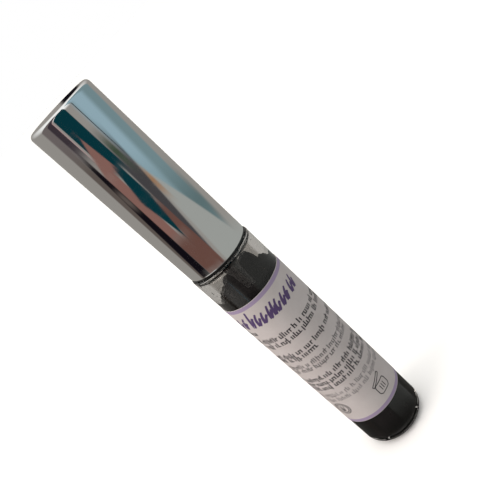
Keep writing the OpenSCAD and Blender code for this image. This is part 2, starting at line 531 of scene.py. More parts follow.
@dataclass(frozen=True)
class CoatedPaper(Finish):
    """Coated label paper, offset printed: a smooth warm white with paper fibre under the coating."""

    band_colour: str = "#a090ac"
    band_width: float = 1.15
    bare_edge: float = 0.1
    foot: float = 12.0
    top: float = 60.0
    fibre: float = 0.5
    fibre_height: float = 0.0015
    fibre_colour: str = "#cac4c2"
    cloud: float = 6.0
    cloud_height: float = 0.004
    handled_colour: str = "#e9e6e4"
    uneven: tuple[float, float] = (0.85, 1.15)

    def surface(self, skin: Skin) -> None:
        """Adds the printed band at each edge, fibre clouds, fibre bump and a faint handling grey.

        Args:
            skin: the material that is being made.
        """
        tree, place = skin.tree, skin.place
        height = add_node(tree, "SeparateXYZ", None, {0: place}).outputs["Z"]
        middle = (self.foot + self.top) / 2
        reach = (self.top - self.foot) / 2 - self.band_width
        offset = add_node(tree, "Math", {"operation": "SUBTRACT"}, {0: height, 1: middle * MM})
        away = add_node(tree, "Math", {"operation": "ABSOLUTE"}, {0: offset.outputs[0]})
        start, end = reach * MM, (reach + self.band_width - self.bare_edge) * MM
        begun = add_node(tree, "Math", {"operation": "GREATER_THAN"}, {0: away.outputs[0], 1: start})
        ended = add_node(tree, "Math", {"operation": "LESS_THAN"}, {0: away.outputs[0], 1: end})
        inked = add_node(tree, "Math", {"operation": "MULTIPLY"}, {0: begun.outputs[0], 1: ended.outputs[0]})
        fibre = add_node(tree, "TexNoise", None, {
            "Vector": place, "Scale": per(self.fibre), "Detail": 5.0, "Roughness": 0.7, "Distortion": 1.2})
        cloud = add_node(tree, "TexNoise", None, {"Vector": place, "Scale": per(self.cloud), "Detail": 3.0})
        paper = add_node(tree, "Mix", {"data_type": "RGBA"}, {
            MIX_FACTOR: fibre.outputs["Fac"], MIX_A: linear(self.colour), MIX_B: linear(self.fibre_colour)})
        greyed = add_node(tree, "Mix", {"data_type": "RGBA", "blend_type": "MULTIPLY"}, {
            MIX_FACTOR: cloud.outputs["Fac"], MIX_A: paper.outputs[MIX_RESULT],
            MIX_B: linear(self.handled_colour)})
        banded = add_node(tree, "Mix", {"data_type": "RGBA"}, {
            MIX_FACTOR: inked.outputs[0], MIX_A: greyed.outputs[MIX_RESULT],
            MIX_B: linear(self.band_colour)})
        tree.links.new(banded.outputs[MIX_RESULT], skin.shader.inputs["Base Color"])
        skin.vary_roughness(cloud.outputs["Fac"], self.roughness, self.uneven)
        skin.raise_bump([(cloud.outputs["Fac"], self.cloud_height),
                         (fibre.outputs["Fac"], self.fibre_height)])


@dataclass(frozen=True)
class OffsetInk(Finish):
    """Offset printing ink: thin, satin, a little starved where the paper's fibres stand up."""

    starved: str = "#5c5856"
    starved_share: float = 0.45
    starved_edge: tuple[float, float] = (0.5, 0.75)
    speckle: float = 0.12
    speckle_height: float = 0.001

    def surface(self, skin: Skin) -> None:
        """Adds the speckle of starved ink.

        Args:
            skin: the material that is being made.
        """
        full, bare = self.starved_edge
        speckle = add_node(skin.tree, "TexNoise", None, {
            "Vector": skin.place, "Scale": per(self.speckle), "Detail": 3.0, "Roughness": 0.7})
        thinned = add_node(skin.tree, "MapRange", None, {
            "Value": speckle.outputs["Fac"], "From Min": full, "From Max": bare,
            "To Max": self.starved_share})
        skin.tint(thinned.outputs["Result"], self.colour, self.starved)
        skin.raise_bump([(speckle.outputs["Fac"], self.speckle_height)])


@dataclass(frozen=True)
class WaxPaste(Finish):
    """Carbon-black wax and clay paste, stirred by the brush: deep black, wet where it was touched last."""

    ridge: float = 1.6
    ridge_height: float = 0.05
    ridge_along: float = 1.7
    hole: float = 0.7
    hole_depth: float = 0.006
    hole_edge: tuple[float, float] = (0.05, 0.22)
    patch: float = 3.5
    dry: str = "#1c1918"
    dry_share: float = 0.7
    dry_edge: tuple[float, float] = (0.5, 0.72)
    shine: float = 0.2
    uneven: tuple[float, float] = (0.6, 1.5)

    def surface(self, skin: Skin) -> None:
        """Adds soft stirred ridges, pin holes, drier patches and uneven wet gloss.

        Args:
            skin: the material that is being made.
        """
        tree, place = skin.tree, skin.place
        skin.shader.inputs["Specular IOR Level"].default_value = self.shine
        stirred = add_node(tree, "Mapping", None, {"Vector": place, "Scale": (1.0, 1.0, self.ridge_along)})
        ridges = add_node(tree, "TexNoise", None, {
            "Vector": stirred.outputs[0], "Scale": per(self.ridge), "Detail": 3.0, "Distortion": 1.1})
        holes = add_node(tree, "TexVoronoi", None, {"Vector": place, "Scale": per(self.hole)})
        hole = add_node(tree, "MapRange", None, {
            "Value": holes.outputs["Distance"],
            "From Min": self.hole_edge[0], "From Max": self.hole_edge[1]})
        patch = add_node(tree, "TexNoise", None, {"Vector": place, "Scale": per(self.patch), "Detail": 4.0})
        dried = add_node(tree, "MapRange", None, {
            "Value": patch.outputs["Fac"], "From Min": self.dry_edge[0], "From Max": self.dry_edge[1],
            "To Max": self.dry_share})
        skin.tint(dried.outputs["Result"], self.colour, self.dry)
        skin.vary_roughness(patch.outputs["Fac"], self.roughness, self.uneven)
        skin.raise_bump([(ridges.outputs["Fac"], self.ridge_height),
                         (hole.outputs["Result"], self.hole_depth)])


@dataclass(frozen=True)
class WipedFilm(Finish):
    """Product wiped thin on the wall: streaks run down it, and light comes through between them."""

    thick: float = 0.85
    thin: float = 0.35
    streak: float = 0.8
    streak_height: float = 0.01
    streak_along: float = 0.12
    cloud: float = 1.6
    cover_edge: tuple[float, float] = (0.8, 1.2)

    def surface(self, skin: Skin) -> None:
        """Adds vertical streaks to the film's cover.

        Args:
            skin: the material that is being made.
        """
        tree, place = skin.tree, skin.place
        along = add_node(tree, "Mapping", None, {"Vector": place, "Scale": (1.0, 1.0, self.streak_along)})
        streak = add_node(tree, "TexNoise", None, {
            "Vector": along.outputs[0], "Scale": per(self.streak), "Detail": 3.0})
        cloud = add_node(tree, "TexNoise", None, {"Vector": place, "Scale": per(self.cloud), "Detail": 4.0})
        both = add_node(tree, "Math", {"operation": "ADD"}, {
            0: streak.outputs["Fac"], 1: cloud.outputs["Fac"]})
        cover = add_node(tree, "MapRange", None, {
            "Value": both.outputs[0], "From Min": self.cover_edge[0], "From Max": self.cover_edge[1],
            "To Min": self.thin, "To Max": self.thick})
        tree.links.new(cover.outputs["Result"], skin.shader.inputs["Alpha"])
        skin.raise_bump([(streak.outputs["Fac"], self.streak_height)])


@dataclass(frozen=True)
class SoftPolyethylene(Finish):
    """Natural low-density polyethylene: waxy, milky, light glows a little way into it."""

    glow: float = 0.25
    glow_depth: tuple[float, float, float] = (0.6, 0.55, 0.45)
    cloud: float = 2.0
    cloud_height: float = 0.006
    smear: float = 2.6
    smear_colour: str = "#1a1817"
    smear_edge: tuple[float, float] = (0.55, 0.62)
    uneven: tuple[float, float] = (0.8, 1.2)

    def surface(self, skin: Skin) -> None:
        """Adds the glow, flow clouds and black smears of wiped-off product.

        Args:
            skin: the material that is being made.
        """
        tree, place = skin.tree, skin.place
        skin.shader.inputs["Subsurface Weight"].default_value = self.glow
        skin.shader.inputs["Subsurface Radius"].default_value = [depth * MM for depth in self.glow_depth]
        skin.shader.inputs["Subsurface Scale"].default_value = 1.0
        cloud = add_node(tree, "TexNoise", None, {"Vector": place, "Scale": per(self.cloud), "Detail": 3.0})
        smear = add_node(tree, "TexNoise", None, {
            "Vector": place, "Scale": per(self.smear), "Detail": 6.0, "Roughness": 0.7, "Distortion": 0.6})
        dirty = add_node(tree, "MapRange", None, {
            "Value": smear.outputs["Fac"], "From Min": self.smear_edge[0], "From Max": self.smear_edge[1]})
        skin.tint(dirty.outputs["Result"], self.colour, self.smear_colour)
        skin.vary_roughness(cloud.outputs["Fac"], self.roughness, self.uneven)
        skin.raise_bump([(cloud.outputs["Fac"], self.cloud_height)])


@dataclass(frozen=True)
class PolyethyleneFoam(Finish):
    """Closed-cell polyethylene foam, punched from sheet: fine bubbles, matte, cut cells at its rim."""

    cell: float = 0.22
    cell_depth: float = 0.03
    # Painted shade, darker towards each cell's edge where the bubbles meet.
    painted_cell_shade: str = "#c8c6bf"

    def surface(self, skin: Skin) -> None:
        """Adds the cells as bump and a little painted shade between them.

        Args:
            skin: the material that is being made.
        """
        cells = add_node(skin.tree, "TexVoronoi", None, {"Vector": skin.place, "Scale": per(self.cell)})
        # Paints shade towards the cell edges.
        skin.tint(cells.outputs["Distance"], self.colour, self.painted_cell_shade)
        skin.raise_bump([(cells.outputs["Distance"], self.cell_depth)])


@dataclass(frozen=True)
class DrawnWire(Finish):
    """Drawn stainless steel wire: fine lines along the draw, dark product left in the twist.

    Real draw lines are too fine to show, so these are as coarse as they need to be.
    """

    line: float = 0.08
    line_height: float = 0.002
    line_along: float = 0.15
    cling: float = 1.1
    cling_colour: str = "#141212"
    cling_edge: tuple[float, float] = (0.46, 0.56)
    uneven: tuple[float, float] = (0.8, 1.4)

    def surface(self, skin: Skin) -> None:
        """Adds draw lines and clinging product.

        Args:
            skin: the material that is being made.
        """
        tree, place = skin.tree, skin.place
        along = add_node(tree, "Mapping", None, {"Vector": place, "Scale": (1.0, 1.0, self.line_along)})
        lines = add_node(tree, "TexNoise", None, {
            "Vector": along.outputs[0], "Scale": per(self.line), "Detail": 2.0})
        cling = add_node(tree, "TexNoise", None, {
            "Vector": place, "Scale": per(self.cling), "Detail": 5.0, "Roughness": 0.65})
        dirty = add_node(tree, "MapRange", None, {
            "Value": cling.outputs["Fac"], "From Min": self.cling_edge[0], "From Max": self.cling_edge[1]})
        bare = add_node(tree, "MapRange", None, {
            "Value": dirty.outputs["Result"], "To Min": 1.0, "To Max": 0.0})
        skin.tint(dirty.outputs["Result"], self.colour, self.cling_colour)
        tree.links.new(bare.outputs["Result"], skin.shader.inputs["Metallic"])
        skin.vary_roughness(lines.outputs["Fac"], self.roughness, self.uneven)
        skin.raise_bump([(lines.outputs["Fac"], self.line_height)])


@dataclass(frozen=True)
class CoatedNylon(Finish):
    """Black nylon filament with product on it: satin threads, wet in clumps."""

    clump: float = 1.4
    clump_height: float = 0.03
    dry: str = "#2b2828"
    uneven: tuple[float, float] = (0.5, 1.4)

    def surface(self, skin: Skin) -> None:
        """Adds clumps of wetter and drier product along the tuft.

        Args:
            skin: the material that is being made.
        """
        clump = add_node(skin.tree, "TexNoise", None, {
            "Vector": skin.place, "Scale": per(self.clump), "Detail": 4.0})
        skin.tint(clump.outputs["Fac"], self.colour, self.dry)
        skin.vary_roughness(clump.outputs["Fac"], self.roughness, self.uneven)
        skin.raise_bump([(clump.outputs["Fac"], self.clump_height)])


@dataclass(frozen=True)
class StudioPaint(Finish):
    """Matt white studio floor, rolled emulsion: even and pale with a fine stipple."""

    stipple: float = 1.5
    stipple_height: float = 0.01

    def surface(self, skin: Skin) -> None:
        """Adds the roller's stipple.

        Args:
            skin: the material that is being made.
        """
        stipple = add_node(skin.tree, "TexNoise", None, {
            "Vector": skin.place, "Scale": per(self.stipple), "Detail": 2.0})
        skin.raise_bump([(stipple.outputs["Fac"], self.stipple_height)])


# The finishes of the tube's pieces. Plastics and paste have their own IOR; metals keep the default.
MIRROR = MetallisedLacquer("metallised_abs_lacquered", "#f3f4f4", roughness=0.03, metallic=1.0)
LINER_PLASTIC = MouldedPlastic("black_polypropylene_moulded", "#0e0e0f", roughness=0.34, ior=1.49)
STEM_PLASTIC = MouldedPlastic("black_polypropylene_with_product", "#151312", roughness=0.36, ior=1.49,
                              grain=0.5, grain_height=0.004, residue="#2b2725", residue_share=0.8)
# The bottle's grey colour is painted shade: it darkens whatever shows through the clear wall.
PETG = ClearPetg("clear_petg_blown", "#c6c3bf", roughness=0.012, ior=1.57)
PAPER = CoatedPaper("coated_label_paper", "#d6d0ce", roughness=0.48)
BLACK_INK = OffsetInk("offset_ink_black", "#1f1c24", roughness=0.5)
GREY_INK = OffsetInk("offset_ink_grey", "#343138", roughness=0.5, starved="#75716f")
PURPLE_INK = OffsetInk("offset_ink_purple", "#54426c", roughness=0.45, starved="#79688f")
PASTE = WaxPaste("carbon_black_wax_paste", "#0a0909", roughness=0.42, ior=1.45)
PASTE_FILM = WaxPaste("carbon_black_paste_film", "#0f0e0e", roughness=0.35, ior=1.45,
                      ridge=1.1, ridge_height=0.03, dry="#211e1d", shine=0.25)
THIN_FILM = WipedFilm("wiped_paste_film", "#2e2a27", roughness=0.4, ior=1.45, thick=0.8, thin=0.5)
WIPER_PLASTIC = SoftPolyethylene("natural_ldpe_moulded", "#e8e4da", roughness=0.4, ior=1.51)
FOAM = PolyethyleneFoam("closed_cell_pe_foam", "#efeeea", roughness=0.9)
WIRE = DrawnWire("drawn_stainless_wire", "#b9bbbe", roughness=0.28, metallic=1.0)
NYLON = CoatedNylon("black_nylon_filament_coated", "#0d0c0c", roughness=0.4, ior=1.53)
FLOOR_PAINT = StudioPaint("white_emulsion_rolled", "#f4f3f1", roughness=0.75)


def dress(piece: Piece, finish: Finish) -> None:
    """Gives a piece its material in place of any that it has.

    Args:
        piece: a new piece or a CAD node.
        finish: the finish that it gets.
    """
    material = finish.material()
    if not piece.material_slots:
        piece.data.materials.append(material)
    for holder in piece.material_slots:
        holder.material = material


def mount(piece: Piece, body: str, slot: str, *nodes: str) -> Piece:
    """Puts a finished piece on its body.

    Args:
        piece: the piece.
        body: the CAD body that carries it.
        slot: the record's material slot; not used.
        nodes: CAD nodes that it stands for.

    Returns:
        The piece.
    """
    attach(piece, body)
    if nodes:
        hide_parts(*nodes)
    LOG.info("%s rides on %s, %d faces", piece.name, body, len(piece.data.polygons))
    return piece


# ---- The tube's pieces ----


@dataclass
class Bottle:
    """The clear bottle: body, shoulder, threaded neck and recessed base."""

    wall: float = 2.4
    base_round: float = 3.3
    shoulder_round: float = 0.5
    floor: float = 1.2
    shoulder: float = 1.2
    cavity_round: float = 2.6
    cavity_top_round: float = 1.0
    recess_r: float = 3.2
    recess_h: float = 0.3
    neck_h: float = 14.0
    neck_r: float = 6.2
    neck_wall: float = 1.3
    crest_r: float = 6.8
    collar_h: float = 1.0
    mouth_bevel: float = 0.25
    thread_lead: float = 3.0
    thread_turns: float = 2.0
    thread_start: float = 3.4
    ridge_w: float = 1.2
    crest_w: float = 0.6
    runout: float = 1 / 6
    thread_row: float = 0.12
    on_wall: float = 0.01
    edge_soft: float = 0.15
    flats: int = 216
    radius: float = field(init=False)
    body_h: float = field(init=False)

    def __post_init__(self) -> None:
        """Reads the bottle's size from the frame."""
        self.radius = radius_of("bottle")
        self.body_h = top_of("bottle") - self.neck_h

    @property
    def cavity_r(self) -> float:
        """Radius of the space inside the body."""
        return self.radius - self.wall

    @property
    def cavity_top(self) -> float:
        """Height of the roof of the space inside the body."""
        return self.body_h - self.shoulder

    def cavity_radius(self, z: float) -> float:
        """Radius of the space inside, which is rounded at its roof.

        Args:
            z: the height.

        Returns:
            The radius at that height, for heights over the rounding of the floor.
        """
        over = min(max(z - (self.cavity_top - self.cavity_top_round), 0.0), self.cavity_top_round)
        fall = self.cavity_top_round - math.sqrt(self.cavity_top_round ** 2 - over ** 2)
        return self.cavity_r - fall

    def outline(self) -> Outline:
        """The bottle's half section, from the recess up the outside and down the inside.

        Returns:
            Its points, from the axis back to the axis.
        """
        rim, collar_top = self.body_h + self.neck_h, self.body_h + self.collar_h
        bore = self.neck_r - self.neck_wall
        base, top = self.base_round, self.shoulder_round
        low, high = self.cavity_round, self.cavity_top_round
        soft = self.edge_soft
        outside = [(0, self.recess_h), (self.recess_r - soft, self.recess_h)]
        outside += [(self.recess_r, self.recess_h - soft), (self.recess_r, soft), (self.recess_r + soft, 0)]
        outside += arc(self.radius - base, base, base, -90, 0, steps=24)
        outside += [(self.radius, base + soft), (self.radius, self.body_h - top - soft)]
        outside += arc(self.radius - top, self.body_h - top, top, 0, 90, steps=8)
        outside += arc(self.crest_r + soft, self.body_h + soft, soft, 270, 180, steps=4)
        outside += [(self.crest_r, collar_top - soft), (self.crest_r - soft, collar_top)]
        outside += arc(self.neck_r + soft, collar_top + soft, soft, 270, 180, steps=4)
        low_row, high_row = collar_top + 2 * soft, rim - self.mouth_bevel
        rows = round((high_row - low_row) / self.thread_row)
        outside += [(self.neck_r, low_row + (high_row - low_row) * i / rows) for i in range(rows + 1)]
        outside += [(self.neck_r - self.mouth_bevel, rim)]
        inside = [(bore + self.mouth_bevel, rim), (bore, rim - self.mouth_bevel)]
        inside += [(bore, self.cavity_top + soft), (bore + soft, self.cavity_top)]
        inside += arc(self.cavity_r - high, self.cavity_top - high, high, 90, 0, steps=10)
        inside += arc(self.cavity_r - low, self.floor + low, low, 0, -90, steps=18) + [(0, self.floor)]
        return outside + inside

    def wind_thread(self, bottle: Piece) -> None:
        """Raises the screw thread from the neck's plain wall, faded at both ends.

        Args:
            bottle: the turned bottle, whose neck has many narrow rows of faces.
        """
        start = self.body_h + self.thread_start
        slope = (self.ridge_w - self.crest_w) / 2

        def wind(x: float, y: float, z: float) -> Place:
            """Moves a point of the neck's wall out to the thread's ridge.

            Args:
                x: the point's place along X.
                y: its place along Y.
                z: its height.

            Returns:
                The point's new place.
            """
            r, part = math.hypot(x, y), math.atan2(y, x) / math.tau
            if abs(r - self.neck_r) > self.on_wall or z < self.body_h + self.collar_h:
                return x, y, z
            turn = part + round((z - start) / self.thread_lead - part)
            if not 0 < turn < self.thread_turns:
                return x, y, z
            off = abs(z - start - self.thread_lead * turn)
            rise = min(1.0, max(0.0, (self.ridge_w / 2 - off) / slope))
            fade = min(1.0, turn / self.runout, (self.thread_turns - turn) / self.runout)
            new_r = self.neck_r + (self.crest_r - self.neck_r) * rise * fade
            return x * new_r / r, y * new_r / r, z

        bend_points(bottle, wind)

    def build(self) -> None:
        """Makes the bottle and dresses it."""
        bottle = turned("clear_bottle", self.outline(), self.flats)
        self.wind_thread(bottle)
        settle(bottle, "clear_bottle")
        dress(bottle, PETG)
        mount(bottle, "bottle", "clear_plastic", "bottle")


class Weight(Enum):
    """Weights of the small print: the height of a low tick and a tick's width, in millimetres."""

    BOLD = (1.08, 0.31)
    PLAIN = (1.0, 0.21)
    FAINT = (0.92, 0.15)


@dataclass
class Label:
    """The wrapped paper label and what is printed on it."""

    gap: float = 1.2
    air: float = 0.005
    ink_height: float = 0.012
    ink_sink: float = 0.02
    text_reach: float = 17.5
    longest_flat: float = 0.5
    title_start: float = -17.0
    title_end: float = 8.4
    title_foot: float = 53.0
    title_height: float = 5.3
    symbol_line: float = 0.24
    ring_flats: int = 24
    flats: int = 180
    radius: float = field(init=False)
    foot: float = field(init=False)
    top: float = field(init=False)

    def __post_init__(self) -> None:
        """Reads the label's size from the frame."""
        self.radius = radius_of("label")
        self.foot, self.top = foot_of("label"), top_of("label")

    def build(self) -> None:
        """Makes the paper and its print, and dresses both."""
        inner = radius_of("bottle") + self.air
        edge = [(inner, self.foot), (self.radius, self.foot), (self.radius, self.top), (inner, self.top),
                (inner, self.foot)]
        sweep = 360 - math.degrees(self.gap / self.radius)
        paper = turned("wrapped_label", edge, self.flats, sweep)
        dress(paper, replace(PAPER, foot=self.foot, top=self.top))
        mount(paper, "bottle", "label_paper", "label")
        self.print_title()
        self.print_rows()
        self.print_symbols()

    def eased(self, points: Outline) -> Outline:
        """Adds points to a line so that no flat of it cuts into the round label.

        Args:
            points: the line.

        Returns:
            The line, with no step round the label longer than the longest flat.
        """
        line = [points[0]]
        for (x0, z0), (x1, z1) in pairwise(points):
            parts = max(1, math.ceil(abs(x1 - x0) / self.longest_flat))
            line += [(x0 + (x1 - x0) * i / parts, z0 + (z1 - z0) * i / parts) for i in range(1, parts + 1)]
        return line

    def stroke(self, points: Outline, width: float, end_width: float | None = None) -> Solid:
        """One printed stroke: a flat bar drawn along points on the unrolled label, then wrapped.

        Args:
            points: places along the label's front, as (way round towards +X, height).
            width: the stroke's width at its start.
            end_width: its width at its end, or None where it keeps its width.

        Returns:
            The points and faces of the stroke, a thin closed solid on the label.
        """
        last = width if end_width is None else end_width
        points = self.eased(points)
        count = len(points) - 1
        corners = []
        for i, (x, z) in enumerate(points):
            before, after = points[max(i - 1, 0)], points[min(i + 1, count)]
            run, rise = after[0] - before[0], after[1] - before[1]
            half = (width + (last - width) * i / count) / 2 / (math.hypot(run, rise) or 1.0)
            for side in (half, -half):
                turn, height = (x - rise * side) / self.radius, z + run * side
                for r in (self.radius + self.ink_height, self.radius - self.ink_sink):
                    corners.append(Vector((r * math.sin(turn), -r * math.cos(turn), height)) * MM)
        faces = [(0, 1, 3, 2), (4 * count, 4 * count + 2, 4 * count + 3, 4 * count + 1)]
        for i in range(0, 4 * count, 4):
            faces += [(i, i + 2, i + 6, i + 4), (i + 1, i + 5, i + 7, i + 3),
                      (i, i + 4, i + 5, i + 1), (i + 2, i + 3, i + 7, i + 6)]
        return corners, faces

    def print_piece(self, name: str, strokes: list[Solid], ink: Finish) -> None:
        """Lays strokes down as one printed piece and dresses it.

        Args:
            name: the piece's name.
            strokes: its strokes.
            ink: the ink that it is printed in.
        """
        deselect_all()
        bpy.ops.mesh.primitive_plane_add(size=MM)
        piece = bpy.context.object
        fill_mesh(piece, strokes)
        mend_normals(piece, SAME_PRINT)
        settle(piece, name, None)
        dress(piece, ink)
        mount(piece, "bottle", "label_paper")

    def print_title(self) -> None:
        """A heading of brushed lash strokes over a running line, which spells nothing."""
        rng = random.Random(11)
        heights = (0.6, 0.64, 0.68, 0.72, 1.0)
        steps = (0, 0.2, 0.4, 0.6, 0.8, 1)
        lash_width, lash_tip, hook_width, hook_end = 0.95, 0.45, 0.55, 0.7
        hook_rise, gap_chance, wide_gap = 0.28, 0.12, 1.0
        foot = self.title_foot
        strokes = []
        x = self.title_start
        while x < self.title_end:
            height = self.title_height * rng.choice(heights)
            lean, curl = rng.uniform(0.2, 0.45), rng.uniform(0.15, 0.5)
            lash = [(x + lean * t * height - curl * math.sin(math.pi * t), foot + height * t) for t in steps]
            strokes.append(self.stroke(lash, lash_width, lash_tip))
            reach = rng.uniform(1.2, 1.7)
            hook = [(x + reach * t, foot + hook_rise * height * (1 - math.cos(math.pi * t))) for t in steps]
            strokes.append(self.stroke(hook, hook_width, hook_end))
            x += reach + rng.uniform(0.05, 0.3) + (wide_gap if rng.random() < gap_chance else 0)
        self.print_piece("title_ornament", strokes, PURPLE_INK)

    def word(self, rng: random.Random, x: float, z: float, marks: int, weight: Weight
             ) -> tuple[list[Solid], float]:
        """A run of plain ticks that stands for a word and spells nothing.

        Args:
            rng: the source of chance.
            x: where it starts.
            z: the row's foot.
            marks: how many ticks.
            weight: the weight of its print.

        Returns:
            The ticks, and where the run ends.
        """
        size, width = weight.value
        heights = (1.0, 1.0, 1.0, 1.5, 1.0, 1.5)
        drop_chance, drop_depth = 0.1, 0.4
        bar_chance, bar_reach, bar_thin = 0.62, 0.55, 0.8
        ticks = []
        for _ in range(marks):
            tall = rng.choice(heights)
            drop = drop_depth * size if rng.random() < drop_chance else 0.0
            ticks.append(self.stroke([(x, z - drop), (x, z + size * tall)], width))
            if rng.random() < bar_chance:
                bar_z = z + rng.choice((width / 2, size - width / 2))
                ticks.append(self.stroke([(x, bar_z), (x + size * bar_reach, bar_z)], width * bar_thin))
            x += rng.uniform(0.5, 0.66) * size
        return ticks, x

    def print_rows(self) -> None:
        """The rows of small print, each given by its foot, its start, its end and its weight."""
        rng = random.Random(23)
        reach = self.text_reach
        bold, plain, faint = Weight.BOLD, Weight.PLAIN, Weight.FAINT
        rows = [(50.4, -reach, -11.6, bold), (47.0, -reach, reach, bold), (45.0, -reach, reach, bold),
                (40.6, -reach, reach, bold), (39.0, -reach, -3.2, bold), (36.1, -reach, reach, plain),
                (34.4, -reach, 6.5, plain), (30.5, -reach, reach, bold), (28.5, -reach, reach, bold),
                (26.6, -reach, reach, bold), (23.6, -reach, reach, faint), (21.6, -reach, reach, faint)]
        space = 0.55
        black, grey = [], []
        for z, start, end, weight in rows:
            x = start + rng.uniform(0, 0.4)
            while x < end:
                marks = rng.randint(2, 9)
                ticks, x = self.word(rng, x, z, marks, weight)
                (grey if weight is faint else black).extend(ticks)
                x += weight.value[0] * space
        self.print_piece("printed_rows", black, BLACK_INK)
        self.print_piece("printed_rows_fine", grey, GREY_INK)

    def jar(self) -> list[Solid]:
        """A plain jar with its lid lifted off and lashes inside.

        Returns:
            Its strokes.
        """
        middle, foot = 3.6, 15.2
        lash_gap, lash_foot, lash_top, lash_width = 0.7, 0.7, 2.4, 0.22
        side = [(1.4, 0.0), (2.0, 0.7), (2.0, 2.6), (1.7, 3.2)]
        pot = [(middle - x, foot + z) for x, z in reversed(side)]
        pot += [(middle + x, foot + z) for x, z in side]
        lid = [(1.2, 18.9), (5.1, 20.7), (5.4, 20.1), (1.5, 18.3)]
        strokes = []
        for loop in (pot, lid):
            strokes += [self.stroke(list(pair), self.symbol_line) for pair in pairwise(loop + loop[:1])]
        for x in (middle - lash_gap, middle, middle + lash_gap):
            strokes.append(self.stroke([(x, foot + lash_foot), (x, foot + lash_top)], lash_width))
        return strokes

    def ring(self) -> list[Solid]:
        """A plain double ring round three lashes.

        Returns:
            Its strokes.
        """
        middle, height, radius, step = -9.4, 18.3, 2.2, 0.5
        angles = [math.tau * i / self.ring_flats for i in range(self.ring_flats + 1)]
        strokes = []
        for r in (radius, radius - step):
            circle = [(middle + r * math.cos(a), height + r * math.sin(a)) for a in angles]
            strokes.append(self.stroke(circle, self.symbol_line))
        lash_reach, lash_width, lash_tip = 1.1, 0.34, 0.16
        for lean in (-0.7, 0.0, 0.7):
            lash = [(middle + lean * 0.4, height - lash_reach), (middle + lean * 0.7, height),
                    (middle + lean * 1.3, height + lash_reach)]
            strokes.append(self.stroke(lash, lash_width, lash_tip))
        return strokes

    def print_symbols(self) -> None:
        """Prints the open jar and the ring."""
        self.print_piece("printed_symbols", self.jar() + self.ring(), BLACK_INK)


